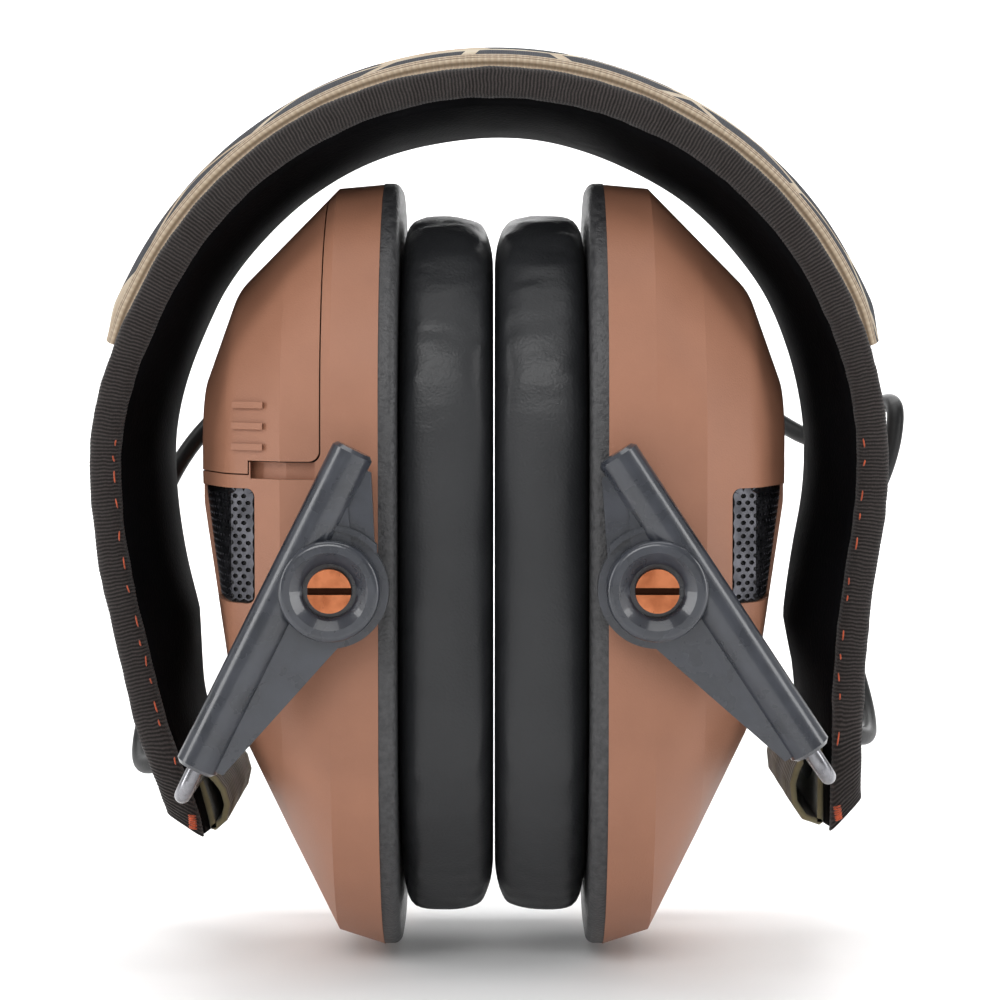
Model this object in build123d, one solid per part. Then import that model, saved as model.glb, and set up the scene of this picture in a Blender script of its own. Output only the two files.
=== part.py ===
from build123d import *
from math import atan2, cos, degrees, pi, radians, sin, tan
import os

# Folding electronic earmuff, folded: the cups hang inside the headband, cushion to cushion.
# Frame: millimetres, +Z up, X across the head, -Y the front. The origin is the middle of
# the crown's underside. "u" is the distance outwards from the middle plane, x = +u or -u.

# headband
ARC_RADIUS = 49.0          # inner pad surface at mid width
ARC_Z = -ARC_RADIUS        # height of the band's arc centre
BAND_HALF = 28.0           # half width, front to rear
EDGE_IN = 51.1             # binding, inner radius
EDGE_OUT = 55.2            # binding, outer radius
BINDING = 4.0              # binding, front to rear
CROWN_OUT = 60.0           # cover radius at mid width
COVER_EDGE = 56.4          # cover radius beside the bindings
COVER_END = 73.5           # the printed cover ends here, degrees from the top
SKIN = 0.8                 # lining thickness
COVER = 1.1                # cover thickness
FLEX_ANGLE = 18.0          # where the sides flex from the crown, degrees from the top
FLEX_RADIUS = 60.6         # the flex axis lies just outside the cover
JOINT_GAP = 0.25           # half gap between crown and side, degrees
SPRING = (14.0, 0.8, 52.9)         # spring strip: width, thickness, radius
INNER_WIRE = (2.2, 16.0, 53.1)     # inner wire: diameter, y, radius
TIP_CUT = 4.5              # how much longer the inner edge is at the pointed end

# yoke and bail
PIVOT_U = 22.2             # cup pivot
PIVOT_Z = -65.9
PIVOT_ALONG = 34.6         # pivot from the fold axis, along the arm
PIVOT_OFF = 5.6            # pivot from the arm's axis, inboard
ARM_FROM = 4.5             # arm tube, lower end from the fold axis
ARM_TO = 53.2
ARM_RADIUS = 2.95
ARM_Y = 43.0               # arm axis, front to rear
WIRE_RADIUS = 1.1
BOSS_IN = 39.6             # boss, inner face
BOSS_BASE = 43.6
BOSS_OUT = 47.0
BOSS_RADIUS = 8.0
RING_RADIUS = 6.9
DISH = (5.3, 3.7, 1.5, 2.9)     # dish: radius at the face, at the foot of its slope, depths
RIB = (8.1, 8.9)           # curved rib beside the boss: inner and outer radius
SCREW_HEAD = 3.0
SCREW_SHAFT = 1.7
CLEAR = 0.25

# cup
CUP_Z = -65.0              # middle height
SEAM_U = 15.9              # shell meets seal plate
PLATE_U = 13.4             # seal plate meets cushion
FACE_U = 1.1               # cushion face
WALL = 2.2
SHELL_SECTIONS = (         # u, top, bottom, half depth
    (15.9, -9.2, -120.9, 38.0),
    (22.5, -9.8, -118.8, 37.4),
    (29.5, -16.9, -104.8, 36.3),
    (37.2, -24.6, -89.3, 29.6),
    (41.9, -38.5, -57.0, 17.0),
)
SHELL_FILLETS = ((41.9, 6.0), (37.2, 8.0))     # u, radius
CORNER_SHARE = 0.86        # corner radius over half depth
CUSHION = (69.0, 102.6, 31.0)
PLATE = (75.6, 112.0, 33.5)
EAR_HOLE = (38.0, 62.0, 18.0)
DOOR = (23.8, -2.0, -48.9)         # door: inboard edge u, rear edge y, lower edge z
DOOR_STEP = (34.0, -50.75)         # outboard of this u its lower edge is at this z
DOOR_GAP = 0.2
NOTCH = (24.6, 33.8, -51.2, 1.4)   # finger notch under the door: u from, u to, lowest z, depth
RIDGES = (32.0, 36.6, -41.0, 2.9)  # grip ridges: u from, u to, z of the highest, pitch
WINDOW = (33.2, -14.0, -68.7, -52.6)   # microphone window: inboard u, rear y, bottom, top
CELL = (10.5, 44.5)        # AAA cell: diameter, length
JACK = (24.0, -98.0)       # audio socket: u, z
JACK_BORE = 1.8
JACK_FACE = 34.2           # y of the socket's mouth
JACK_DEPTH = 13.0
KNOB = (22.8, -29.5)       # volume knob: u, z
KNOB_RADIUS = 5.0
CELL_U = 28.6              # the cells stand side by side here
CELL_FOOT = -72.6
LEAD = 2.8                 # lead diameter

SIDES = {
    "left": {
        "sign": -1,
        "arm": 63.5,                    # arm's slope
        "bends": ((90.0, 13.0),),       # band side below the arc: radius, turn inwards
        "run": 28.5,                    # then straight to the tip
        "lead": (
            (-35.0, 29.5, -37.0), (-42.0, 36.5, -41.5), (-50.5, 38.0, -50.5),
            (-55.5, 35.5, -62.5), (-54.8, 32.5, -75.0), (-54.0, 31.5, -86.0),
            (-56.0, 25.5, -95.5), (-54.4, 16.8, -99.0), (-50.0, 11.8, -95.5),
        ),
    },
    "right": {
        "sign": 1,
        "arm": 56.7,
        "bends": ((70.0, 10.0), (-150.0, 10.0)),
        "run": 9.5,
        "lead": (
            (35.0, 29.5, -38.0), (44.0, 38.0, -44.3), (54.0, 44.5, -49.5),
            (61.5, 47.0, -43.5), (64.8, 38.5, -41.0), (63.6, 34.0, -49.5),
            (59.5, 32.5, -59.0), (57.0, 32.0, -70.0), (56.5, 31.5, -81.0),
            (58.8, 25.5, -90.5), (58.0, 17.0, -94.5), (54.3, 12.0, -91.5),
        ),
    },
}

os.makedirs("parts", exist_ok=True)
BAND_AXIS = Axis((0, 0, ARC_Z), (0, 1, 0))


def save(shape, name):
    shape.label = name
    export_step(shape, "parts/" + name + ".step")


def group(shapes):
    return Compound(children=list(shapes))


def upright(width, height, corner, u, z=CUP_Z):
    """A rounded rectangle facing outwards at u."""
    plane = Plane(origin=(u, 0, z), x_dir=(0, 1, 0), z_dir=(1, 0, 0))
    return plane * RectangleRounded(width, height, corner)


def disc(radius, x, z, y_from, y_to):
    """A round bar along Y."""
    plane = Plane(origin=(x, y_from, z), x_dir=(1, 0, 0), z_dir=(0, 1, 0))
    return extrude(plane * Circle(radius), y_to - y_from)


def block(x_from, x_to, y_from, y_to, z_from, z_to):
    box = Box(x_to - x_from, y_to - y_from, z_to - z_from)
    return Pos((x_from + x_to) / 2, (y_from + y_to) / 2, (z_from + z_to) / 2) * box


def place(shape, sign):
    """Cup and band sides are drawn at +u; the left one is their mirror image."""
    return shape if sign > 0 else mirror(shape, about=Plane.YZ)


# ---------------------------------------------------------------- headband

def side_line(radius, start, side, tip):
    """A line of the band side at one radius, from start degrees down to the pointed end."""
    angle = radians(start)
    point = (radius * sin(angle), ARC_Z + radius * cos(angle))
    edges = [JernArc(point, (cos(angle), -sin(angle)), radius, start - 90)]
    for bend, turn in side["bends"]:
        local = abs(bend) - (EDGE_OUT - radius) * (1 if bend > 0 else -1)
        sweep_angle = -turn if bend > 0 else turn
        edges.append(JernArc(edges[-1] @ 1, edges[-1] % 1, local, sweep_angle))
    end = edges[-1] @ 1
    edges.append(Line(end, end + (edges[-1] % 1) * (side["run"] + tip)))
    return edges


def side_slab(inner, outer, start, side, y_from, y_to):
    """The band side between two radii, from start degrees to the tip, over a width."""
    share_in = (EDGE_OUT - inner) / (EDGE_OUT - EDGE_IN)
    share_out = (EDGE_OUT - outer) / (EDGE_OUT - EDGE_IN)
    first = side_line(inner, start, side, TIP_CUT * share_in)
    last = side_line(outer, start, side, TIP_CUT * share_out)
    ends = [Line(first[-1] @ 1, last[-1] @ 1), Line(first[0] @ 0, last[0] @ 0)]
    face = make_face(first + last + ends)
    return extrude(Plane.XZ.offset(-y_from) * face, amount=y_to - y_from, dir=(0, 1, 0))


def arc_slab(inner_edge, inner_mid, outer_edge, outer_mid, half, start, stop):
    """A crowned strip of the band's arc between two angles from the top."""
    edges = [
        ThreePointArc((-half, inner_edge), (0, inner_mid), (half, inner_edge)),
        Line((half, inner_edge), (half, outer_edge)),
        ThreePointArc((half, outer_edge), (0, outer_mid), (-half, outer_edge)),
        Line((-half, outer_edge), (-half, inner_edge)),
    ]
    face = Plane(origin=(0, 0, ARC_Z), x_dir=(0, 1, 0), z_dir=(1, 0, 0)) * make_face(edges)
    solid = revolve(face, BAND_AXIS, revolution_arc=stop - start)
    return solid.rotate(BAND_AXIS, start)


def ring_slab(inner, outer, y_from, y_to, start, stop):
    """A plain strip of the band's arc, y_from to y_to."""
    edges = Polyline((y_from, inner), (y_to, inner), (y_to, outer), (y_from, outer), close=True)
    face = Plane(origin=(0, 0, ARC_Z), x_dir=(0, 1, 0), z_dir=(1, 0, 0)) * make_face(edges)
    return revolve(face, BAND_AXIS, revolution_arc=stop - start).rotate(BAND_AXIS, start)


INNER_HALF = BAND_HALF - BINDING - 0.1
LINING_EDGE = ARC_RADIUS + 1.6     # lining surface beside the bindings
FOAM_EDGE = COVER_EDGE - COVER
FOAM_TOP = CROWN_OUT - COVER


def arc_parts(start, stop, cover_stop):
    """Cover, foam, lining, spring and bindings of the arc between two angles."""
    foam = arc_slab(LINING_EDGE + SKIN, ARC_RADIUS + SKIN, FOAM_EDGE, FOAM_TOP,
                    INNER_HALF, start, stop)
    return {
        "cover": arc_slab(FOAM_EDGE, FOAM_TOP, COVER_EDGE, CROWN_OUT, INNER_HALF, start, cover_stop),
        "foam": foam,
        "lining": arc_slab(LINING_EDGE, ARC_RADIUS, LINING_EDGE + SKIN, ARC_RADIUS + SKIN,
                           INNER_HALF, start, stop),
    }


def spring_arc(start, stop):
    width, thick, radius = SPRING
    return ring_slab(radius, radius + thick, -width / 2, width / 2, start, stop)


def wire_arc(start, stop):
    diameter, y, radius = INNER_WIRE
    plane = Plane(origin=(0, 0, ARC_Z), x_dir=(0, 1, 0), z_dir=(1, 0, 0))
    face = plane * (Pos(y, radius) * Circle(diameter / 2))
    return revolve(face, BAND_AXIS, revolution_arc=stop - start).rotate(BAND_AXIS, start)


def make_crown():
    limit = FLEX_ANGLE - JOINT_GAP
    parts = arc_parts(-limit, limit, limit)
    spring = spring_arc(-limit, limit)
    wire = wire_arc(-limit, limit)
    save(parts["cover"], "crown_cover")
    save(parts["foam"] - spring - wire, "crown_foam")
    save(parts["lining"], "crown_lining")
    save(spring, "crown_spring")
    save(wire, "crown_wire")
    for name, y in (("front", -BAND_HALF), ("rear", BAND_HALF - BINDING)):
        save(ring_slab(EDGE_IN, EDGE_OUT, y, y + BINDING, -limit, limit), "crown_" + name + "_binding")


def fold_axis(side):
    """Where the bail's cross bar turns in the webbing loop, as (u, z)."""
    reach = (PIVOT_ALONG ** 2 + PIVOT_OFF ** 2) ** 0.5
    slope = radians(side["arm"]) - atan2(PIVOT_OFF, PIVOT_ALONG)
    return PIVOT_U + reach * cos(slope), PIVOT_Z - reach * sin(slope)


def make_band(name, side):
    sign = side["sign"]
    start = FLEX_ANGLE + JOINT_GAP
    step = COVER_END
    fold_u, fold_z = fold_axis(side)
    groove = disc(WIRE_RADIUS + 0.4, fold_u, fold_z, -BAND_HALF - 1, BAND_HALF + 1)
    parts = arc_parts(start, step, step)
    lower_foam = side_slab(EDGE_IN + SKIN, EDGE_OUT - SKIN, step, side, -INNER_HALF, INNER_HALF)
    lower_in = side_slab(EDGE_IN, EDGE_IN + SKIN, step, side, -INNER_HALF, INNER_HALF)
    lower_out = side_slab(EDGE_OUT - SKIN, EDGE_OUT, step, side, -INNER_HALF, INNER_HALF)
    spring_stop = 88.0
    spring = spring_arc(start, spring_stop)
    wire = wire_arc(start, spring_stop)
    foam = parts["foam"] + lower_foam
    save(place(parts["cover"], sign), name + "_band_cover")
    save(place(foam - spring - wire - groove, sign), name + "_band_foam")
    save(place(group([parts["lining"], lower_in - groove, lower_out]), sign), name + "_band_lining")
    save(place(spring, sign), name + "_band_spring")
    save(place(wire, sign), name + "_band_wire")
    for end, y in (("front", -BAND_HALF), ("rear", BAND_HALF - BINDING)):
        binding = side_slab(EDGE_IN, EDGE_OUT, start, side, y, y + BINDING) - groove
        save(place(binding, sign), name + "_band_" + end + "_binding")
    loop_u = fold_u + 1.5
    loop_z = fold_z - 0.7
    ring = disc(4.3, loop_u, loop_z, -20, 20) - disc(3.0, loop_u, loop_z, -21, 21)
    band = side_slab(EDGE_IN - 0.05, EDGE_OUT + 5, 60, side, -BAND_HALF, BAND_HALF)
    loop = ring - band - block(loop_u, loop_u + 9, -22, 22, loop_z - 9, loop_z + 9)
    save(place(loop, sign), name + "_hinge_loop")
    whole = place(side_slab(EDGE_IN, EDGE_OUT, 60, side, -BAND_HALF, BAND_HALF), sign)
    last = Vector(*side["lead"][-1])
    toward = (last - Vector(*side["lead"][-2])).normalized()
    eyelet = extrude(Plane(origin=last, z_dir=toward) * Circle(LEAD / 2 + 0.9), 7.0)
    solids = (eyelet - whole).solids().sort_by_distance(last)
    save(solids[0], name + "_lead_eyelet")


# ---------------------------------------------------------------- bail and yoke

def arm_plane(side, y):
    """Plane whose x runs up the arm from the fold axis, and whose y points inboard."""
    fold_u, fold_z = fold_axis(side)
    slope = radians(side["arm"])
    return Plane(origin=(fold_u, y, fold_z), x_dir=(-cos(slope), 0, sin(slope)), z_dir=(0, 1, 0))


def inboard(side):
    """The sign of the arm plane's y that points inboard."""
    plane = arm_plane(side, 0)
    local = plane.to_local_coords(Vector(PIVOT_U, 0, PIVOT_Z))
    return 1 if local.Y > 0 else -1


def make_bail(name, side):
    slope = radians(side["arm"])
    fold_u, fold_z = fold_axis(side)
    inside = ARM_TO - 10
    top = (fold_u - inside * cos(slope), fold_z + inside * sin(slope))
    points = [(top[0], -ARM_Y, top[1]), (fold_u, -ARM_Y, fold_z),
              (fold_u, ARM_Y, fold_z), (top[0], ARM_Y, top[1])]
    path = FilletPolyline(points, radius=2.6)
    section = Plane(origin=path @ 0, z_dir=path % 0) * Circle(WIRE_RADIUS)
    save(place(sweep(section, path=path), side["sign"]), name + "_bail_wire")


def make_arm(side, front):
    """One arm at the front (-Y); the rear one is its mirror image."""
    flip = inboard(side)
    plane = arm_plane(side, 0)
    face = -ARM_Y
    tube_plane = Plane(origin=plane.from_local_coords(Vector(ARM_FROM, 0, 0)) + Vector(0, face, 0),
                       z_dir=plane.x_dir)
    tube = extrude(tube_plane * Circle(ARM_RADIUS), ARM_TO - ARM_FROM)
    tube = chamfer(tube.edges().filter_by(GeomType.CIRCLE), 0.5)
    web_points = [
        (ARM_FROM + 1.0, 0), (ARM_TO - 3.0, 0), (PIVOT_ALONG + 6.0, flip * (PIVOT_OFF + 0.5)),
        (PIVOT_ALONG - 1.0, flip * (PIVOT_OFF + 6.0)), (ARM_FROM + 1.0, flip * 3.8),
    ]
    plate_points = [
        (ARM_TO - 1.8, 0), (ARM_TO - 1.8, flip * 3.5), (PIVOT_ALONG + 6.4, flip * 9.3),
        (PIVOT_ALONG + 1.0, flip * 8.0), (PIVOT_ALONG + 1.0, 0),
    ]
    web_plane = arm_plane(side, -BOSS_BASE - 0.6)
    web = extrude(web_plane * make_face(Polyline(*web_points, close=True)), 3.2)
    plate = extrude(arm_plane(side, -BOSS_BASE) * make_face(Polyline(*plate_points, close=True)), 2.4)
    boss = disc(BOSS_RADIUS, PIVOT_U, PIVOT_Z, -BOSS_BASE, -BOSS_IN)
    ring = disc(RING_RADIUS, PIVOT_U, PIVOT_Z, -BOSS_OUT, -BOSS_BASE)
    ring = fillet(ring.edges().group_by(Axis.Y)[0], 0.8)
    rib = disc(RIB[1], PIVOT_U, PIVOT_Z, -BOSS_BASE - 0.9, -BOSS_BASE + 1.5)
    rib = rib - disc(RIB[0], PIVOT_U, PIVOT_Z, -BOSS_OUT, -BOSS_IN)
    rib = rib & block(PIVOT_U - 6.4, PIVOT_U + 1.0, -60, 0, PIVOT_Z + 4.0, PIVOT_Z + 20)
    arm = tube + web + plate + boss + ring + rib
    wide, narrow, slope_depth, depth = DISH
    dish_plane = Plane(origin=(PIVOT_U, -BOSS_OUT, PIVOT_Z), x_dir=(1, 0, 0), z_dir=(0, 1, 0))
    arm = arm - dish_plane * Cone(wide, narrow, slope_depth,
                                  align=(Align.CENTER, Align.CENTER, Align.MIN))
    arm = arm - disc(narrow, PIVOT_U, PIVOT_Z, -BOSS_OUT, -BOSS_OUT + depth)
    arm = arm - disc(SCREW_SHAFT + CLEAR, PIVOT_U, PIVOT_Z, -BOSS_OUT - 1, -BOSS_IN + 1)
    bore_plane = Plane(origin=plane.from_local_coords(Vector(0, 0, 0)) + Vector(0, face, 0),
                       z_dir=plane.x_dir)
    arm = arm - extrude(bore_plane * Circle(WIRE_RADIUS + 0.15), ARM_TO - 3)
    return arm if front else mirror(arm, about=Plane.XZ)


def make_yoke(name, side):
    for end in ("front", "rear"):
        save(place(make_arm(side, end == "front"), side["sign"]), name + "_" + end + "_arm")


# ---------------------------------------------------------------- cup

def cup_form(inset, first=SEAM_U, fillets=True):
    """The cup's outer form, or the same form drawn in by inset."""
    faces = []
    for index, (u, top, bottom, half) in enumerate(SHELL_SECTIONS):
        depth = half - inset
        height = top - bottom - 2 * inset
        corner = min(depth, height / 2) * CORNER_SHARE
        at = first if index == 0 else u - inset * (1.0 if index == 4 else 0.6)
        faces.append(upright(2 * depth, height, corner, at, (top + bottom) / 2))
    form = loft(faces, ruled=True)
    if fillets:
        for u, radius in SHELL_FILLETS:
            rim = form.edges().filter_by_position(Axis.X, u - 0.01, u + 0.01)
            form = fillet(rim, radius)
    return form


def door_region(gap):
    """The front upper outer part of the cup that the battery door covers."""
    u, y, z = DOOR
    step_u, step_z = DOOR_STEP
    region = block(u + gap, 60, -60, y - gap, z + gap, 10)
    edges = region.edges().filter_by(Axis.Y).sort_by(Axis.Z)[0:2]
    region = fillet(edges.sort_by(Axis.X)[0], 1.5)
    return region + block(step_u + gap, 60, -60, y - gap, step_z + gap, z + gap + 1)


def make_shells():
    outer = cup_form(0)
    inner = cup_form(WALL, first=SEAM_U - 1, fillets=False)
    wall = outer - inner
    window = block(WINDOW[0], 60, -60, WINDOW[1], WINDOW[2], WINDOW[3])
    window = fillet(window.edges().filter_by(Axis.Y), 1.2)
    body = wall
    for y in (-1, 1):
        body = body + disc(5.0, PIVOT_U, PIVOT_Z, y * 33.5, y * (BOSS_IN - 0.3))
        body = body - disc(SCREW_SHAFT, PIVOT_U, PIVOT_Z, y * 32, y * 44)
    mesh = (cup_form(0.8, fillets=False) - cup_form(1.6, first=SEAM_U - 1, fillets=False)) & window
    body = body - window
    return wall, body, mesh


def finger_notch():
    """A shallow pocket in the front face, where a finger reaches under the door."""
    u_from, u_to, lowest, depth = NOTCH
    pocket = block(u_from, u_to, -60, -15, lowest, DOOR[2] + 0.5)
    return pocket - cup_form(depth, first=SEAM_U - 1, fillets=False)


def make_door(wall):
    u_from, u_to, highest, pitch = RIDGES
    ridges = []
    for index in range(3):
        z = highest - pitch * index
        ridges.append(block(u_from, u_to, -36.5, -20, z - 0.45, z + 0.45))
    skin = cup_form(-0.45, first=SEAM_U, fillets=False)
    door = wall & door_region(DOOR_GAP)
    for ridge in ridges:
        door = door + ((ridge & skin) - cup_form(1.0, first=SEAM_U - 1, fillets=False))
    return door


def make_screws():
    screws = []
    for y in (-1, 1):
        head = disc(SCREW_HEAD, PIVOT_U, PIVOT_Z, y * (BOSS_OUT - 2.5), y * (BOSS_OUT - 1.0))
        slot = block(PIVOT_U - 4, PIVOT_U + 4, min(y * 45.0, y * 48), max(y * 45.0, y * 48),
                     PIVOT_Z - 0.48, PIVOT_Z + 0.48)
        shaft = disc(SCREW_SHAFT, PIVOT_U, PIVOT_Z, y * 34, y * (BOSS_OUT - 2.5))
        screws.append(head + shaft - slot)
    return group(screws)


def make_cup(name, side, wall, shell, mesh):
    sign = side["sign"]
    body = shell
    exit_point = side["lead"][0]
    away = Vector(*side["lead"][1]) - Vector(*exit_point)
    grommet_plane = Plane(origin=Vector(*exit_point) - away.normalized() * 5.0, z_dir=away)
    grommet = extrude(grommet_plane * Circle(LEAD / 2 + 1.3), 5.0)
    sleeve = extrude(grommet_plane * Circle(LEAD / 2 + 1.3), 8.0)
    if name == "left":
        body = body - door_region(0) - finger_notch()
        body = body - disc(JACK_BORE + 1.4, JACK[0], JACK[1], 18, 50)
        body = body - disc(KNOB_RADIUS + 0.3, KNOB[0], KNOB[1], 28, 50)
    body = place(body, sign) - sleeve
    save(body, name + "_shell")
    save(grommet, name + "_lead_grommet")
    save(place(mesh, sign), name + "_mic_mesh")

    width, height, corner = EAR_HOLE
    plate = extrude(upright(*PLATE, PLATE_U), SEAM_U - PLATE_U)
    plate = fillet(plate.edges().group_by(Axis.X)[0], 1.3)
    plate = plate - extrude(upright(width + 4, height + 4, corner + 2, 0), 30)
    save(place(plate, sign), name + "_seal_plate")
    cushion = extrude(upright(*CUSHION, FACE_U), PLATE_U - FACE_U)
    cushion = fillet(cushion.edges().group_by(Axis.X)[0], 4.5)
    cushion = cushion - extrude(upright(width, height, corner, 0), 30)
    save(place(cushion, sign), name + "_cushion")
    cloth = extrude(upright(width + 3.8, height + 3.8, corner + 1.9, PLATE_U + 0.4), 0.8)
    save(place(cloth, sign), name + "_ear_cloth")
    speaker = extrude(upright(32, 32, 15.9, PLATE_U + 1.4), 3.6)
    speaker = speaker + extrude(upright(20, 20, 9.9, PLATE_U + 4.8), 2.2)
    save(place(speaker, sign), name + "_speaker")
    liner = extrude(upright(62, 92, 28, 17.0), 3.4)
    liner = liner - extrude(upright(33, 33, 16.4, 10.0), 20)
    save(place(liner, sign), name + "_sound_liner")
    board = block(21.2, 22.6, -16, 22, -93, -42)
    save(place(board, sign), name + "_circuit_board")
    mic = disc(3.0, 33.5, (WINDOW[2] + WINDOW[3]) / 2, -25.5, -21)
    save(place(mic, sign), name + "_microphone")
    save(place(make_screws(), sign), name + "_pivot_screws")


def make_left_only(wall):
    save(place(make_door(wall), -1), "left_battery_door")
    diameter, length = CELL
    cells = []
    contacts = []
    for y in (-15.1, -4.0):
        base = Plane(origin=(CELL_U, y, CELL_FOOT), z_dir=(0, 0, 1))
        cell = extrude(base * Circle(diameter / 2), length - 0.8)
        nub = extrude(base.offset(length - 0.8) * Circle(1.9), 0.8)
        cells.append(cell + nub)
        contacts.append(block(CELL_U - 3, CELL_U + 3, y - 3, y + 3, CELL_FOOT - 0.6, CELL_FOOT - 0.1))
    save(place(group(cells), -1), "left_batteries")
    save(place(group(contacts), -1), "left_battery_contacts")
    jack = disc(JACK_BORE + 1.3, JACK[0], JACK[1], 18, JACK_FACE)
    jack = jack - disc(JACK_BORE, JACK[0], JACK[1], JACK_FACE - JACK_DEPTH, 40)
    save(place(jack, -1), "left_aux_jack")
    knob = disc(KNOB_RADIUS, KNOB[0], KNOB[1], 29, 37.9)
    knob = knob - block(KNOB[0] - 0.5, KNOB[0] + 0.5, 37.3, 40, KNOB[1] + 1.5, KNOB[1] + 7)
    save(place(knob, -1), "left_volume_knob")


# ---------------------------------------------------------------- leads

def corner_radii(points):
    """0.45 of the shorter run at each corner, over the tangent of half its turn."""
    radii = []
    for before, here, after in zip(points, points[1:], points[2:]):
        first = Vector(*here) - Vector(*before)
        second = Vector(*after) - Vector(*here)
        half_turn = radians(first.get_angle(second) / 2)
        radii.append(0.45 * min(first.length, second.length) / tan(half_turn))
    return radii


def make_lead(name, side):
    points = side["lead"]
    radii = corner_radii(points)
    path = FilletPolyline(points, radius=radii)
    section = Plane(origin=path @ 0, z_dir=path % 0) * Circle(LEAD / 2)
    lead = sweep(section, path=path)
    expected = pi * (LEAD / 2) ** 2 * path.length
    print(name, "lead: length", round(path.length, 1), "radii", [round(r, 1) for r in radii],
          "volume over section x length", round(lead.volume / expected, 4))
    save(lead, name + "_lead")


make_crown()
wall, shell, mesh = make_shells()
for name, side in SIDES.items():
    make_band(name, side)
    make_bail(name, side)
    make_yoke(name, side)
    make_cup(name, side, wall, shell, mesh)
    make_lead(name, side)
make_left_only(wall)
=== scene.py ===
from math import cos, pi, radians, sin, sqrt

import bmesh
import bpy
import numpy as np
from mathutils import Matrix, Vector, noise
from mathutils.bvhtree import BVHTree


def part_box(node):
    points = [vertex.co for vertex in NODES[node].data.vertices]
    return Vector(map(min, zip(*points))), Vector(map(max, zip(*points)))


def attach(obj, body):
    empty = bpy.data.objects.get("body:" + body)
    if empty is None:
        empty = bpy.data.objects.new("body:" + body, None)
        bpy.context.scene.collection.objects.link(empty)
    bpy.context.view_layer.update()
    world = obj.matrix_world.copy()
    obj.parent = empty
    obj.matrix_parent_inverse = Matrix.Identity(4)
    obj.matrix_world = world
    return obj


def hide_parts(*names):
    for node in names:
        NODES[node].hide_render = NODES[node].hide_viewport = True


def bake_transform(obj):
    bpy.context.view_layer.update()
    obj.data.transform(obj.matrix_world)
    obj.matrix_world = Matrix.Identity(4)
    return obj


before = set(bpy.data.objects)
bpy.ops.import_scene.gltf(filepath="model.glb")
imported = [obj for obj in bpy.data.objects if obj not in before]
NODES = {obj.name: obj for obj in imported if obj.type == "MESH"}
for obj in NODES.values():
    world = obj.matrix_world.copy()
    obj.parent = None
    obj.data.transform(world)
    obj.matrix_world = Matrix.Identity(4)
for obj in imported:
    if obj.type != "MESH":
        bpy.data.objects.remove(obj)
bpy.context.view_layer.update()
MM = 0.001

# Sizes are in millimetres. Frame: +Z up, X across the head, -Y the front. "u" is the
# distance outwards from the middle plane. "s" runs along the headband from its top.

ARC_Z = -49.0              # centre height of the headband's arc
EDGE_OUT = 55.2            # outer radius of the bindings
EDGE_IN = 51.1             # inner radius of the bindings
BAND_HALF = 28.0           # half width of the band, front to rear
BINDING = 4.0              # width of a binding, front to rear
INNER_HALF = 24.0          # half width of the band between the bindings
RIB_PITCH = 0.52           # spacing of the ribs woven into the bindings
TIP_CUT = 4.5              # how much longer the band's inner edge is at its pointed end
COVER_END = 73.5           # the printed cover ends here, degrees from the top
CUP_Z = -65.0              # middle height of the cups
PLATE_U = 13.4             # the cushion stands on the seal plate here
FACE_U = 0.12              # the cushions' faces meet, this far each side of the middle
CUSHION = (69.0, 102.6, 31.0)      # cushion: width, height, corner radius
EAR_HOLE = (38.0, 62.0, 18.0)
PIVOT_Z = -65.9            # height of the pivot screws
LEAD_RADIUS = 1.4
KNIT_FROM = 20.4           # the cover's knitted strips begin here, from its middle line
KNIT_PITCH = 1.15          # spacing of the rows of knit
WEAVE_PITCH = 0.62         # spacing of the threads in the cover's print
STITCHES_FROM = 84.0       # the orange stitches begin here, along the band
STRAP_HALF = 19.5          # half width of the webbing, front to rear
STRAP_SKIN = 0.45          # half its thickness
STRAP_TURN = 1.95          # radius of its turn round the bail's cross bar
GRILLE_AXIS_U = 24.0       # the grilles are laid out by angle round an upright line here
GRILLE_RADIUS = 22.0       # and by distance along an arc of this radius
GRILLE_PITCH = 1.08        # spacing of the holes
GRILLE_HOLE = 0.33         # radius of a hole
GRILLE_TOP = 0.30          # the perforated sheet stands this far off the screen
GRILLE_SUNK = 0.05         # and its holes' walls reach down to here

# Sizes below are in metres.

CAMERA_PLACE = (0.0009, -0.480, -0.032)
CAMERA_AIM = (0.0009, 0.0, -0.0558)
LENS = 116.0               # focal length in millimetres, on a sensor 36 wide
FLOOR_Z = -0.1222
COVE_START = 1.2           # the floor begins to curve up into the backdrop here
COVE_RADIUS = 0.8
BACKDROP_TOP = 3.5

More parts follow.
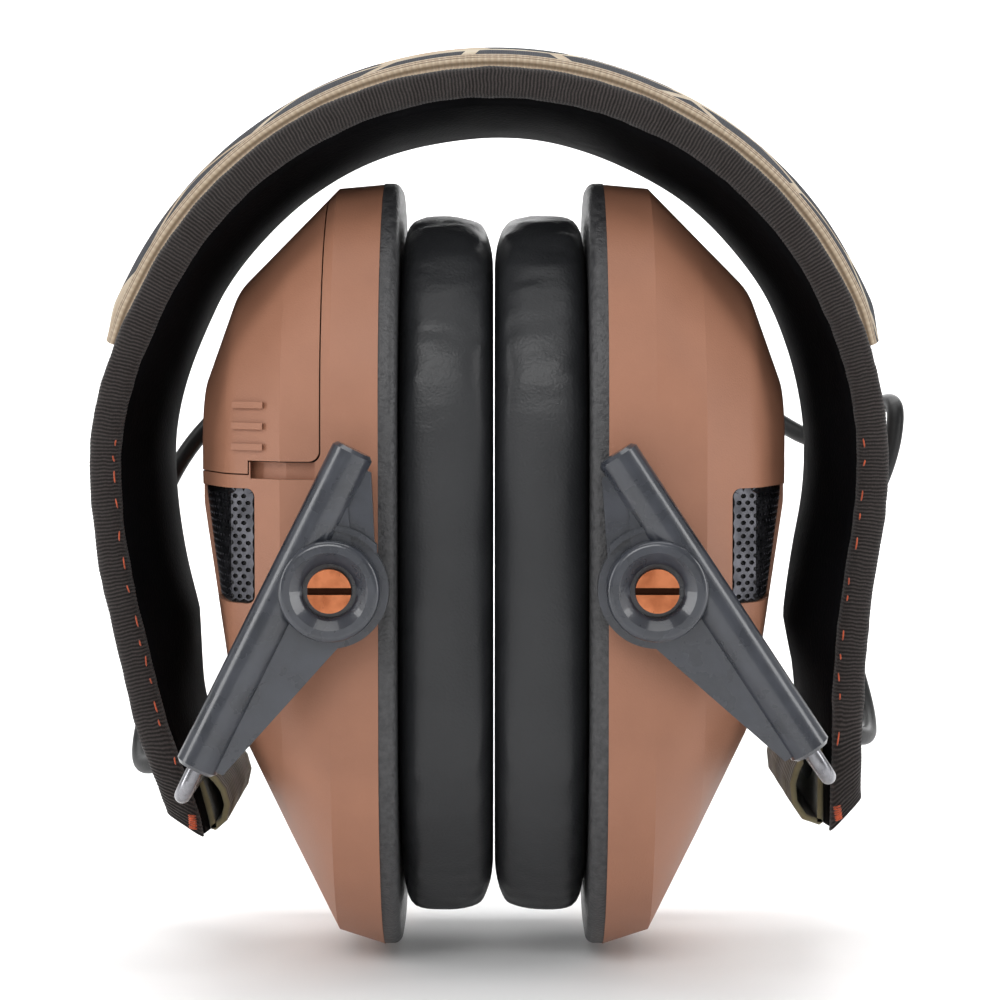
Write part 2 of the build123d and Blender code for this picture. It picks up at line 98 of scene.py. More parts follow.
SIDES = {
    "left": {
        "sign": -1,
        "bends": ((90.0, 13.0),),
        "run": 30.3,
        "bulge": 1.6,
        "fold": (42.65, -94.37),
        "cuts": (-72.0, -84.0),
        "blends": ((-42.0, -69.0), (-73.0, -83.0), (-85.0, -94.0)),
        "lead": (
            (-35.0, 29.5, -37.0), (-42.0, 36.5, -41.5), (-50.5, 38.0, -50.5),
            (-55.5, 35.5, -62.5), (-54.8, 32.5, -75.0), (-54.0, 31.5, -86.0),
            (-56.0, 25.5, -95.5), (-54.4, 16.8, -99.0), (-50.0, 11.8, -95.5),
        ),
    },
    "right": {
        "sign": 1,
        "bends": ((70.0, 10.0), (-150.0, 10.0)),
        "run": 9.5,
        "bulge": 0.3,
        "fold": (45.88, -91.74),
        "cuts": (-69.0, -79.0),
        "blends": ((-51.0, -66.0), (-70.0, -78.0), (-80.0, -88.0)),
        "lead": (
            (35.0, 29.5, -38.0), (44.0, 38.0, -44.3), (54.0, 44.5, -49.5),
            (61.5, 47.0, -43.5), (64.8, 38.5, -41.0), (63.6, 34.0, -49.5),
            (59.5, 32.5, -59.0), (57.0, 32.0, -70.0), (56.5, 31.5, -81.0),
            (58.8, 25.5, -90.5), (58.0, 17.0, -94.5), (54.3, 12.0, -91.5),
        ),
    },
}


# ---------------------------------------------------------------- camera

def make_camera():
    data = bpy.data.cameras.new("camera")
    data.lens = LENS
    data.sensor_width = 36.0
    data.clip_start = 0.01
    camera = bpy.data.objects.new("camera", data)
    bpy.context.scene.collection.objects.link(camera)
    camera.location = CAMERA_PLACE
    aim = Vector(CAMERA_AIM) - camera.location
    camera.rotation_euler = aim.to_track_quat("-Z", "Y").to_euler()
    bpy.context.scene.camera = camera


make_camera()


# ---------------------------------------------------------------- mesh helpers

def add_object(name, mesh, material=None, smooth=True):
    obj = bpy.data.objects.new(name, mesh)
    bpy.context.scene.collection.objects.link(obj)
    if smooth:
        mesh.polygons.foreach_set("use_smooth", [True] * len(mesh.polygons))
    if material is not None:
        mesh.materials.append(material)
    return obj


def rest_attribute(mesh, values):
    """Stores (along, across, depth) in millimetres at each point, for the materials."""
    attribute = mesh.attributes.new("rest", "FLOAT_VECTOR", "POINT")
    attribute.data.foreach_set("vector", np.asarray(values, np.float32).ravel())


def grid_object(name, points, rest=None, loop=True, caps="both", ring=False, material=None):
    """A skin over rows of points, in mm. loop closes each row, ring closes the rows.
    A cap has points of its own, so that its rim stays crisp."""
    rows, columns = points.shape[:2]
    faces = []
    last_row = rows if ring else rows - 1
    last_column = columns if loop else columns - 1
    for i in range(last_row):
        for j in range(last_column):
            k, m = (i + 1) % rows, (j + 1) % columns
            faces.append((i * columns + j, i * columns + m, k * columns + m, k * columns + j))
    all_points = [points.reshape(-1, 3)]
    all_rest = [] if rest is None else [rest.reshape(-1, 3)]
    capped = [] if ring or not loop else {"both": (0, rows - 1), "end": (rows - 1,)}[caps]
    for row in capped:
        first = sum(len(part) for part in all_points)
        all_points.append(points[row])
        if rest is not None:
            all_rest.append(rest[row])
        faces.append(tuple(range(first, first + columns)))
    mesh = bpy.data.meshes.new(name)
    mesh.from_pydata((np.vstack(all_points) * MM).tolist(), [], faces)
    if rest is not None:
        rest_attribute(mesh, np.vstack(all_rest))
    bm = bmesh.new()
    bm.from_mesh(mesh)
    bmesh.ops.recalc_face_normals(bm, faces=bm.faces)
    bm.to_mesh(mesh)
    bm.free()
    return add_object(name, mesh, material)


def wobble(x, y, z, scale, seed=0.0):
    """Smooth noise from -1 to 1 at a place in mm."""
    return noise.noise(Vector((x / scale + seed, y / scale, z / scale)))


def smoothstep(x):
    x = min(1.0, max(0.0, x))
    return x * x * (3 - 2 * x)


# ---------------------------------------------------------------- materials

def srgb(red, green, blue):
    def linear(value):
        value /= 255
        return value / 12.92 if value <= 0.04045 else ((value + 0.055) / 1.055) ** 2.4
    return (linear(red), linear(green), linear(blue), 1.0)


class Look:
    """A node material built round one Principled shader."""

    def __init__(self, name, rough, metal=0.0, specular=0.5, sheen=0.0, coat=0.0):
        self.material = bpy.data.materials.new(name)
        self.material.use_nodes = True
        self.tree = self.material.node_tree
        self.shader = self.tree.nodes["Principled BSDF"]
        self.set(self.shader, "Roughness", rough)
        self.set(self.shader, "Metallic", metal)
        self.set(self.shader, "Specular IOR Level", specular)
        self.set(self.shader, "Sheen Weight", sheen)
        self.set(self.shader, "Coat Weight", coat)
        self.normal = None

    def set(self, node, socket, value):
        if hasattr(value, "is_output"):
            self.tree.links.new(value, node.inputs[socket])
        else:
            node.inputs[socket].default_value = value

    def node(self, kind, values=None, **settings):
        made = self.tree.nodes.new("ShaderNode" + kind)
        for key, value in settings.items():
            setattr(made, key, value)
        for socket, value in (values or {}).items():
            self.set(made, socket, value)
        return made

    def place(self):
        return self.node("TexCoord").outputs["Object"]

    def rest(self):
        return self.node("Attribute", attribute_name="rest").outputs["Vector"]

    def stretched(self, vector, scale):
        return self.node("Mapping", {"Vector": vector, "Scale": scale}).outputs["Vector"]

    def math(self, operation, a, b=0.0):
        made = self.node("Math", operation=operation)
        self.set(made, 0, a)
        self.set(made, 1, b)
        return made.outputs[0]

    def noise(self, vector, scale, detail=3.0, rough=0.5):
        values = {"Vector": vector, "Scale": scale, "Detail": detail, "Roughness": rough}
        return self.node("TexNoise", values).outputs["Fac"]

    def cells(self, vector, scale, **settings):
        values = {"Vector": vector, "Scale": scale}
        return self.node("TexVoronoi", values, **settings)

    def ramp(self, value, stops, constant=False):
        made = self.node("ValToRGB", {"Fac": value})
        ramp = made.color_ramp
        ramp.interpolation = "CONSTANT" if constant else "LINEAR"
        while len(ramp.elements) < len(stops):
            ramp.elements.new(0.5)
        for element, (at, colour) in zip(ramp.elements, stops):
            element.position = at
            element.color = colour
        return made.outputs["Color"]

    def mix(self, share, first, second, blend="MIX"):
        made = self.node("Mix", data_type="RGBA", blend_type=blend)
        self.set(made, 0, share)
        self.set(made, 6, first)
        self.set(made, 7, second)
        return made.outputs[2]

    def span(self, value, low, high, to_low, to_high):
        values = {"Value": value, "From Min": low, "From Max": high,
                  "To Min": to_low, "To Max": to_high}
        return self.node("MapRange", values).outputs[0]

    def colour(self, value):
        self.set(self.shader, "Base Color", value)

    def roughness(self, value):
        self.set(self.shader, "Roughness", value)

    def bump(self, height, distance, strength=1.0):
        values = {"Height": height, "Distance": distance, "Strength": strength}
        made = self.node("Bump", values)
        if self.normal is not None:
            self.set(made, "Normal", self.normal)
        self.normal = made.outputs["Normal"]
        self.set(self.shader, "Normal", self.normal)


def moulded(name, dark, light, rough, grain, depth, specular=0.5, coat=0.0, mottle=90.0):
    """Moulded plastic: slow mottling, a fine grain and an uneven gloss."""
    look = Look(name, rough[0], specular=specular, coat=coat)
    place = look.place()
    slow = look.noise(place, mottle, 4.0)
    fine = look.noise(place, grain, 2.0)
    look.colour(look.ramp(slow, ((0.3, dark), (0.7, light))))
    look.roughness(look.span(slow, 0.3, 0.7, *rough))
    look.bump(fine, depth)
    return look


def metal_look(name, colour, worn, rough, brush):
    look = Look(name, rough[0], metal=1.0)
    place = look.place()
    lines = look.noise(look.stretched(place, brush), 1.0, 3.0)
    spots = look.noise(place, 420.0, 3.0)
    look.colour(look.ramp(spots, ((0.35, colour), (0.72, worn))))
    look.roughness(look.span(lines, 0.3, 0.7, *rough))
    look.bump(lines, 0.00003, 0.6)
    return look


def screw_look():
    """Copper with a brushed face, and painted shade in the slot."""
    look = metal_look("copper_screw", srgb(206, 128, 88), srgb(166, 96, 62), (0.26, 0.42),
                      (2200.0, 200.0, 300.0))
    parts = look.node("SeparateXYZ", {"Vector": look.place()})
    level = look.math("ABSOLUTE", look.math("SUBTRACT", parts.outputs["Z"], PIVOT_Z * MM))
    deep = look.math("LESS_THAN", look.math("ABSOLUTE", parts.outputs["Y"]), 0.04585)
    # painted shade: the recessed slot of the screw head is coloured dark copper
    slot = look.math("MULTIPLY", deep, look.math("LESS_THAN", level, 0.00052))
    plain = look.shader.inputs["Base Color"].links[0].from_socket
    look.colour(look.mix(slot, plain, srgb(46, 26, 18)))
    return look


def leatherette_look():
    look = Look("leatherette", 0.45, specular=0.45)
    place = look.place()
    pores = look.cells(place, 1500.0, feature="DISTANCE_TO_EDGE").outputs["Distance"]
    fine = look.noise(place, 2600.0, 2.0)
    folds = look.noise(look.stretched(place, (160.0, 110.0, 260.0)), 1.0, 4.0, 0.6)
    slow = look.noise(place, 70.0, 3.0)
    height = look.node("SeparateXYZ", {"Vector": place}).outputs["Z"]
    upper = look.span(height, -0.062, -0.020, 0.10, 1.0)
    look.colour(look.ramp(slow, ((0.3, srgb(33, 34, 36)), (0.75, srgb(43, 44, 46)))))
    look.roughness(look.span(slow, 0.3, 0.7, 0.40, 0.52))
    look.bump(pores, 0.00012, 0.35)
    look.bump(fine, 0.00006, 0.5)
    look.bump(look.math("MULTIPLY", folds, upper), 0.00055, 0.55)
    return look


def ribbed_look():
    """Grosgrain tape: ribs across the tape, with painted shade in the grooves and painted light on
    the rib tops.
    """
    look = Look("binding_tape", 0.9, specular=0.2, sheen=0.12)
    rest = look.rest()
    parts = look.node("SeparateXYZ", {"Vector": rest})
    along = parts.outputs["X"]
    drift = look.noise(look.stretched(rest, (0.25, 0.6, 0.6)), 1.0, 3.0)
    phase = look.math("ADD", look.math("MULTIPLY", along, 2 * pi / RIB_PITCH),
                      look.math("MULTIPLY", drift, 7.0))
    rib = look.math("SINE", phase)
    threads = look.noise(look.stretched(rest, (2.0, 7.0, 7.0)), 1.0, 3.0, 0.65)
    # painted shade and light: the rib wave darkens the colour in the grooves and lightens it on the
    # tops, mixed with thread noise
    tone = look.math("ADD", look.span(rib, -1.0, 1.0, 0.0, 0.5),
                     look.math("MULTIPLY", threads, 0.5))
    look.colour(look.ramp(tone, ((0.15, srgb(18, 16, 15)), (0.5, srgb(39, 35, 34)),
                                 (0.9, srgb(74, 67, 65)))))
    look.bump(rib, 0.00009, 0.7)
    look.bump(threads, 0.00020, 0.6)
    return look


def pad_look():
    look = Look("pad_fabric", 0.72, specular=0.03)
    rest = look.rest()
    slow = look.noise(look.stretched(rest, (0.05, 0.05, 0.05)), 1.0, 3.0)
    knit = look.cells(look.stretched(rest, (1.7, 2.3, 2.0)), 1.0).outputs["Distance"]
    look.colour(look.ramp(slow, ((0.3, srgb(8, 8, 9)), (0.75, srgb(15, 15, 17)))))
    look.roughness(look.span(slow, 0.3, 0.7, 0.62, 0.78))
    look.bump(knit, 0.00010, 0.5)
    return look


def cover_look():
    """Printed stretch fabric with abstract angular patches, and a knitted strip at each side."""
    look = Look("cover_fabric", 0.88, specular=0.15, sheen=0.04)
    rest = look.rest()
    parts = look.node("SeparateXYZ", {"Vector": rest})
    across = look.math("ABSOLUTE", parts.outputs["Y"])
    slant = look.node("Mapping", {"Vector": rest, "Rotation": (0.0, 0.0, 0.55),
                                  "Scale": (0.070, 0.105, 0.0)}).outputs["Vector"]
    patch = look.cells(slant, 1.0, voronoi_dimensions="2D").outputs["Color"]
    border = look.cells(slant, 1.0, voronoi_dimensions="2D", feature="DISTANCE_TO_EDGE")
    gap = border.outputs["Distance"]
    chosen = look.node("SeparateColor", {"Color": patch}).outputs[0]
    pick = look.math("MULTIPLY", look.math("GREATER_THAN", chosen, 0.14),
                     look.math("GREATER_THAN", gap, 0.065))
    fade = look.noise(look.stretched(rest, (0.09, 0.2, 0.1)), 1.0, 2.0)
    tan = look.ramp(fade, ((0.35, srgb(166, 146, 122)), (0.65, srgb(192, 180, 160))))
    ink = look.ramp(fade, ((0.3, srgb(20, 23, 31)), (0.7, srgb(36, 40, 49))))
    printed = look.mix(pick, tan, ink)
    thread = 2 * pi / WEAVE_PITCH
    weave_x = look.math("SINE", look.math("MULTIPLY", parts.outputs["X"], thread))
    weave_y = look.math("SINE", look.math("MULTIPLY", parts.outputs["Y"], thread))
    weave = look.math("MULTIPLY", weave_x, weave_y)
    woven = look.mix(look.span(weave, -1.0, 1.0, 0.0, 0.12), printed, srgb(60, 52, 44))
    line = look.math("SINE", look.math("MULTIPLY", across, 2 * pi / KNIT_PITCH))
    knit = look.ramp(look.span(line, -1.0, 1.0, 0.0, 1.0),
                     ((0.05, srgb(112, 96, 78)), (0.45, srgb(168, 150, 128)),
                      (1.0, srgb(190, 174, 152))))
    stitch = look.math("SINE", look.math("MULTIPLY", parts.outputs["X"], 2 * pi / 0.9))
    knit = look.mix(look.span(stitch, -1.0, 1.0, 0.0, 0.25), knit, srgb(120, 96, 72))
    edge = look.math("GREATER_THAN", across, KNIT_FROM)
    look.colour(look.mix(edge, woven, knit))
    look.bump(look.math("MULTIPLY", weave, look.math("SUBTRACT", 1.0, edge)), 0.00010, 0.7)
    look.bump(look.math("MULTIPLY", look.math("ADD", line, stitch), edge), 0.00018, 0.8)
    return look


def webbing_look():
    look = Look("webbing", 0.9, specular=0.2, sheen=0.3)
    place = look.place()
    weave = look.node("TexWave", {"Vector": place, "Scale": 330.0, "Distortion": 1.5},
                      bands_direction="Y")
    threads = look.noise(place, 900.0, 3.0)
    tone = look.math("ADD", look.math("MULTIPLY", weave.outputs["Fac"], 0.6),
                     look.math("MULTIPLY", threads, 0.4))
    look.colour(look.ramp(tone, ((0.2, srgb(58, 52, 36)), (0.8, srgb(118, 110, 84)))))
    look.bump(tone, 0.00030, 0.8)
    return look


def thread_look():
    look = Look("thread", 0.6, specular=0.3, sheen=0.3)
    twist = look.noise(look.stretched(look.place(), (3000.0, 3000.0, 1500.0)), 1.0, 2.0)
    look.colour(look.ramp(twist, ((0.3, srgb(138, 54, 22)), (0.7, srgb(196, 82, 38)))))
    look.bump(twist, 0.00008, 0.6)
    return look


def cloth_look(name, dark, light, scale):
    look = Look(name, 0.9, specular=0.2, sheen=0.2)
    place = look.place()
    weave = look.cells(place, scale).outputs["Distance"]
    slow = look.noise(place, 90.0)
    look.colour(look.ramp(look.math("ADD", look.math("MULTIPLY", weave, 0.5),
                                    look.math("MULTIPLY", slow, 0.5)),
                          ((0.2, dark), (0.8, light))))
    look.bump(weave, 0.0002, 0.6)
    return look


LOOKS = {
    "shell": moulded("shell_plastic", srgb(146, 101, 79), srgb(155, 108, 85), (0.48, 0.58),
                     3800.0, 0.00004, specular=0.4),
    "arm": moulded("arm_plastic", srgb(38, 41, 47), srgb(52, 55, 63), (0.22, 0.36),
                   2400.0, 0.00002, coat=0.5, mottle=240.0),
    "plate": moulded("plate_plastic", srgb(44, 44, 46), srgb(68, 68, 69), (0.36, 0.56),
                     2300.0, 0.00016, mottle=1100.0),
    "jacket": moulded("cord_jacket", srgb(10, 10, 11), srgb(17, 17, 18), (0.36, 0.50),
                      1500.0, 0.00003, specular=0.3),
    "board": moulded("electronics", srgb(16, 70, 38), srgb(22, 92, 50), (0.3, 0.5),
                     900.0, 0.00008, mottle=300.0),
    "cells": moulded("cell_jacket", srgb(52, 54, 60), srgb(80, 82, 90), (0.25, 0.4),
                     1200.0, 0.00003),
    "steel": metal_look("bail_steel", srgb(150, 150, 154), srgb(120, 120, 124), (0.22, 0.36),
                        (900.0, 900.0, 90.0)),
    "copper": screw_look(),
    "contact": metal_look("contact_metal", srgb(190, 188, 180), srgb(160, 156, 148), (0.3, 0.5),
                          (300.0, 900.0, 900.0)),
    "grille": metal_look("metal_mesh", srgb(92, 92, 97), srgb(66, 66, 70), (0.30, 0.46),
                         (600.0, 600.0, 600.0)),
    "leatherette": leatherette_look(),
    "binding": ribbed_look(),
    "pad": pad_look(),
    "cover": cover_look(),
    "webbing": webbing_look(),
    "thread": thread_look(),
    "cloth": cloth_look("ear_cloth", srgb(10, 10, 11), srgb(26, 26, 28), 1300.0),
    "screen": cloth_look("screen_cloth", srgb(5, 5, 6), srgb(14, 14, 15), 1600.0),
}


def dress(node, look):
    mesh = NODES[node].data
    mesh.materials.clear()
    mesh.materials.append(LOOKS[look].material)


# ---------------------------------------------------------------- leads

def route_line(name, points):
    """The lead's own smooth line through its route, as points in mm."""
    curve = bpy.data.curves.new(name, "CURVE")
    curve.dimensions = "3D"
    curve.resolution_u = 14
    spline = curve.splines.new("NURBS")
    spline.points.add(len(points) - 1)
    for point, place in zip(spline.points, points):
        point.co = (place[0] * MM, place[1] * MM, place[2] * MM, 1.0)
    spline.order_u = 3
    spline.use_endpoint_u = True
    holder = bpy.data.objects.new(name, curve)
    bpy.context.scene.collection.objects.link(holder)
    bpy.context.view_layer.update()
    evaluated = holder.evaluated_get(bpy.context.evaluated_depsgraph_get())
    mesh = bpy.data.meshes.new_from_object(evaluated)
    line = np.array([v.co for v in mesh.vertices], float) / MM
    bpy.data.objects.remove(holder)
    bpy.data.meshes.remove(mesh)
    keep = [0]
    for i in range(1, len(line)):
        if np.linalg.norm(line[i] - line[keep[-1]]) > 0.2:
            keep.append(i)
    return line[keep]


def tube(name, line, radius, material, sides=16):
    """A round tube on a line, its rings turned as little as possible from one to the next."""
    tangents = np.gradient(line, axis=0)
    tangents /= np.linalg.norm(tangents, axis=1)[:, None]
    across = np.cross(tangents[0], (0.0, 0.0, 1.0))
    across /= np.linalg.norm(across)
    rings = []
    for point, tangent in zip(line, tangents):
        across = across - tangent * np.dot(across, tangent)
        across /= np.linalg.norm(across)
        other = np.cross(tangent, across)
        angles = np.linspace(0, 2 * pi, sides, endpoint=False)
        rings.append([point + radius * (cos(a) * across + sin(a) * other) for a in angles])
    return grid_object(name, np.array(rings), material=material)


def make_lead(name, side):
    line = route_line(name + "_lead_route", side["lead"])
    cuts = []
    for height in side["cuts"]:
        cuts.append(max(i for i in range(len(line)) if line[i][2] > height))
    spans = ((0, cuts[0]), (cuts[0], cuts[1]), (cuts[1], len(line) - 1))
    for index, (first, last) in enumerate(spans):
        part = line[first:last + 1]
        piece = tube(name + "_lead_" + ("upper", "middle", "lower")[index], part, LEAD_RADIUS,
                     LOOKS["jacket"].material)
        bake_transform(piece)
    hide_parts(name + "_lead")


for side_name, side in SIDES.items():
    make_lead(side_name, side)


# ---------------------------------------------------------------- headband

def band_length(side):
    total = EDGE_OUT * pi / 2 + side["run"]
    for radius, turn in side["bends"]:
        total += abs(radius) * radians(turn)
    return total


def band_at(side, s):
    """(u, z) on the bindings' outer edge and the heading there, s mm from the top."""
    quarter = EDGE_OUT * pi / 2
    if s <= quarter:
        a = s / EDGE_OUT
        return EDGE_OUT * sin(a), ARC_Z + EDGE_OUT * cos(a), a
    u, z, a, left = EDGE_OUT, ARC_Z, pi / 2, s - quarter
    for radius, turn in side["bends"]:
        step = min(left, abs(radius) * radians(turn))
        u += radius * (sin(a + step / radius) - sin(a))
        z += radius * (cos(a + step / radius) - cos(a))
        a += step / radius
        left -= step
    return u + left * cos(a), z - left * sin(a), a


def band_point(side, s, y, h):
    """A point of the band: s along it, y across it, h outwards from the outer edge line."""
    total = band_length(side)
    lean = -h / (EDGE_OUT - EDGE_IN) * TIP_CUT
    s += lean * smoothstep((s - total + 14.0) / 14.0)
    u, z, a = band_at(side, s)
    h += side["bulge"] * smoothstep((s - 60.0) / 28.0) * smoothstep((total + 3.0 - s) / 18.0)
    return side["sign"] * (u + h * sin(a)), y, z + h * cos(a)


def rounded_section(half_y, half_h, corner, count):
    """Points round a rounded rectangle."""
    points = []
    for step in range(count):
        angle = 2 * pi * step / count
        c, d = cos(angle), sin(angle)
        power = 2.0 / corner
        y = half_y * (abs(c) ** power) * (1 if c >= 0 else -1)
        h = half_h * (abs(d) ** power) * (1 if d >= 0 else -1)
        points.append((y, h))
    return points


def sweep_band(name, side, stations, section_at, material):
    """A closed skin along the band. section_at(s) gives the (y, h) points at s."""
    rows, rest = [], []
    for s in stations:
        row, mark = [], []
        for y, h in section_at(s):
            row.append(band_point(side, s, y, h))
            mark.append((side["sign"] * s, y, h))
        rows.append(row)
        rest.append(mark)
    return grid_object(name, np.array(rows), np.array(rest), caps="end", material=material)


def binding_section(y_middle, seed, sign):
    """Ribbed tape folded round the band's edge, with ribs, puckers and a soft fold."""
    base = rounded_section(BINDING / 2 + 0.05, (EDGE_OUT - EDGE_IN) / 2 + 0.1, 3.2, 20)

    def section(s):
        at = sign * s
        rib = abs(cos(pi * s / RIB_PITCH + 2.6 * wobble(at, 0, 0, 4.0, seed)))
        rise = 0.075 * (rib ** 0.7 - 0.6) * (1.0 + 1.5 * wobble(at, 3, 0, 1.7, seed))
        pucker = 0.20 * wobble(at, 1, 5, 6.5, seed) + 0.09 * wobble(at, 8, 2, 2.2, seed)
        points = []
        for y, h in base:
            reach = sqrt(y * y + h * h)
            grow = 1.0 + (rise + pucker) / reach
            points.append((y_middle + y * grow, -(EDGE_OUT - EDGE_IN) / 2 + h * grow))
        return points
    return section


def pad_section(side):
    """The pad between the bindings: crowned inwards at the top and nearly flat at the sides."""
    ys = np.linspace(-INNER_HALF - 0.4, INNER_HALF + 0.4, 25)
    cover_stop = EDGE_OUT * radians(COVER_END)
    total = band_length(side)

    def section(s):
        flat = smoothstep((s - EDGE_OUT * radians(58)) / 26.0)
        puff = 0.25 * wobble(side["sign"] * s, 2, 2, 17.0)
        inner_mid = np.interp(s, (0, 58, 87, 112, total - 16, total),
                              (-8.0, -8.2, -9.0, -9.3, -7.4, -4.6))
        inner_edge = -4.5 * (1 - flat) - 4.0 * flat
        under = smoothstep((cover_stop - s + 1.0) / 4.0)
        outer_mid = 3.3 * under + 0.25 * (1 - under)
        outer_edge = -0.2
        points = []
        for y in ys:
            share = 1 - abs(y / ys[-1]) ** 2.4
            points.append((y, inner_edge + (inner_mid - inner_edge) * share + puff * share))
        for y in ys[::-1]:
            share = 1 - (y / ys[-1]) ** 2
            points.append((y, outer_edge + (outer_mid - outer_edge) * share))
        return points
    return section


def cover_section(sign):
    """The printed cover: a thin crowned skin whose side edges tuck down to the bindings."""
    ys = np.linspace(-INNER_HALF - 0.5, INNER_HALF + 0.5, 41)
    stop = EDGE_OUT * radians(COVER_END)

    def section(s):
        near_end = smoothstep((s - stop + 6.0) / 6.0)
        top = 4.75 - 1.1 * near_end
        edge = 1.15 - 0.35 * near_end
        outer, inner = [], []
        for y in ys:
            share = 1 - (abs(y) / ys[-1]) ** 2.2
            strip = 0.0
            if abs(y) > KNIT_FROM:
                strip = 0.16 * abs(cos(pi * (abs(y) - KNIT_FROM) / KNIT_PITCH))
            ripple = 0.18 * wobble(sign * s, y, 0, 13.0) * share
            tuck = -1.2 if abs(y) > INNER_HALF + 0.2 else 0.0
            h = edge + (top - edge) * share + strip + ripple + tuck
            outer.append((y, h))
            inner.append((y, h - 0.9))
        return outer + inner[::-1]
    return section


def make_stitches(name, side):
    """Thread along the binding's inner edge low on the sides, and a bar tack at the end."""
    total = band_length(side)
    bm = bmesh.new()
    rng = np.random.default_rng(7 if side["sign"] > 0 else 11)

    def stitch(s, h, y, length, lean, radius):
        line = []
        for t in np.linspace(-0.5, 0.5, 7):
            arch = 0.22 * (1 - (2 * t) ** 2)
            y_here = y - arch if y < 0 else y + arch
            line.append(band_point(side, s + t * length, y_here, h + lean * t))
        line = np.array(line)
        tangent = (line[-1] - line[0]) / np.linalg.norm(line[-1] - line[0])
        across = np.cross(tangent, (0.0, 1.0, 0.0))
        across /= np.linalg.norm(across)
        other = np.cross(tangent, across)
        rings = []
        for i, point in enumerate(line):
            size = radius * (0.35 if i in (0, len(line) - 1) else 1.0)
            rings.append([bm.verts.new((point + size * (cos(a) * across + sin(a) * other)) * MM)
                          for a in np.linspace(0, 2 * pi, 8, endpoint=False)])
        for first, second in zip(rings, rings[1:]):
            for j in range(8):
                k = (j + 1) % 8
                bm.faces.new((first[j], first[k], second[k], second[j]))
        bm.faces.new(rings[0][::-1])
        bm.faces.new(rings[-1])

    for front in (-1, 1):
        s = STITCHES_FROM
        while s < total - 7:
            length = 0.8 + 1.0 * rng.random()
            stitch(s, -3.75 + 0.35 * rng.random(), front * (BAND_HALF - 0.16), length,
                   0.6 * (rng.random() - 0.5), 0.11)
            s += 2.2 + 3.2 * rng.random()
        for row in range(7):
            stitch(total - 2.4 + 0.3 * row, -3.4 + 0.05 * row, front * (BAND_HALF - 0.05),
                   0.5 + 0.3 * rng.random(), 1.1, 0.14)
    bmesh.ops.recalc_face_normals(bm, faces=bm.faces)
    mesh = bpy.data.meshes.new(name)
    bm.to_mesh(mesh)
    bm.free()
    return add_object(name, mesh, LOOKS["thread"].material)


def make_headband(name, side):
    sign = side["sign"]
    total = band_length(side)
    body = name + "_band"

    def fit(obj, material_slot, *nodes):
        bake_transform(obj)
        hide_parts(*nodes)

    fine = np.linspace(0.0, total, round(total / 0.12))
    coarse = np.linspace(0.0, total, 110)
    for end_name, middle, seed in (("front", -BAND_HALF + BINDING / 2, 2.0),
                                   ("rear", BAND_HALF - BINDING / 2, 9.0)):
        obj = sweep_band(name + "_" + end_name + "_tape", side, fine,
                         binding_section(middle, seed, sign), LOOKS["binding"].material)
        node_end = "_" + end_name + "_binding"
        fit(obj, "binding_tape", body + node_end, "crown" + node_end)
    pad = sweep_band(name + "_pad", side, coarse, pad_section(side), LOOKS["pad"].material)
    fit(pad, "foam", body + "_foam", body + "_lining", body + "_spring", body + "_wire",
        "crown_foam", "crown_lining", "crown_spring", "crown_wire")
    stations = np.arange(0.0, EDGE_OUT * radians(COVER_END), 0.55)
    cover = sweep_band(name + "_cover", side, stations, cover_section(sign),
                       LOOKS["cover"].material)
    fit(cover, "cover_fabric", body + "_cover", "crown_cover")
    stitches = make_stitches(name + "_stitches", side)
    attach(stitches, body)


for side_name, side in SIDES.items():
    make_headband(side_name, side)


# ---------------------------------------------------------------- hinge webbing

def make_webbing(name, side):
    """A strap sewn on the band's inner face, which passes round the bail's cross bar."""
    sign = side["sign"]
    fold_u, fold_z = side["fold"]
    total = band_length(side)
    line = []
    for s in np.linspace(total - 8.0, total - 0.8, 7):
        x, _, z = band_point(side, s, 0.0, -4.9)
        line.append((x * sign, z))
    away = Vector((line[-1][0] - fold_u, line[-1][1] - fold_z))
    start = np.arctan2(away.y, away.x)
    for step in np.linspace(0.0, 1.0, 22):
        angle = start - step * radians(300)
        radius = away.length * (1 - smoothstep(step * 4)) + STRAP_TURN * smoothstep(step * 4)
        line.append((fold_u + radius * cos(angle), fold_z + radius * sin(angle)))
    line = np.array(line)
    tangent = np.gradient(line, axis=0)
    tangent /= np.linalg.norm(tangent, axis=1)[:, None]
    normal = np.stack([-tangent[:, 1], tangent[:, 0]], axis=1)
    ys = np.linspace(-STRAP_HALF, STRAP_HALF, 60)
    rows = []
    for point, out in zip(line, normal):
        row = []
        for y in ys:
            lift = STRAP_SKIN + 0.08 * sin(y * 2 * pi / 1.9)
            row.append((sign * (point[0] + out[0] * lift), y, point[1] + out[1] * lift))
        for y in ys[::-1]:
            place = point - out * STRAP_SKIN
            row.append((sign * place[0], y, place[1]))
        rows.append(row)
    strap = grid_object(name + "_webbing", np.array(rows), material=LOOKS["webbing"].material)
    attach(strap, name + "_band")
    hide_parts(name + "_hinge_loop")


for side_name, side in SIDES.items():
    make_webbing(side_name, side)


# ---------------------------------------------------------------- cushions

def outline(width, height, corner, count):
    """Points round a rounded rectangle, evenly spaced, as (y, z) from its middle."""
    straight_y, straight_z = width / 2 - corner, height / 2 - corner
    dense = []
    for quarter, (cy, cz) in enumerate(((1, 1), (-1, 1), (-1, -1), (1, -1))):
        for step in range(64):
            a = pi / 2 * (quarter + step / 64)
            dense.append((cy * straight_y + corner * cos(a), cz * straight_z + corner * sin(a)))
    dense = np.array(dense)
    closed = np.vstack([dense, dense[:1]])
    run = np.concatenate([[0], np.cumsum(np.linalg.norm(np.diff(closed, axis=0), axis=1))])
    at = np.linspace(0, run[-1], count, endpoint=False)
    return np.stack([np.interp(at, run, closed[:, 0]), np.interp(at, run, closed[:, 1])], axis=1)


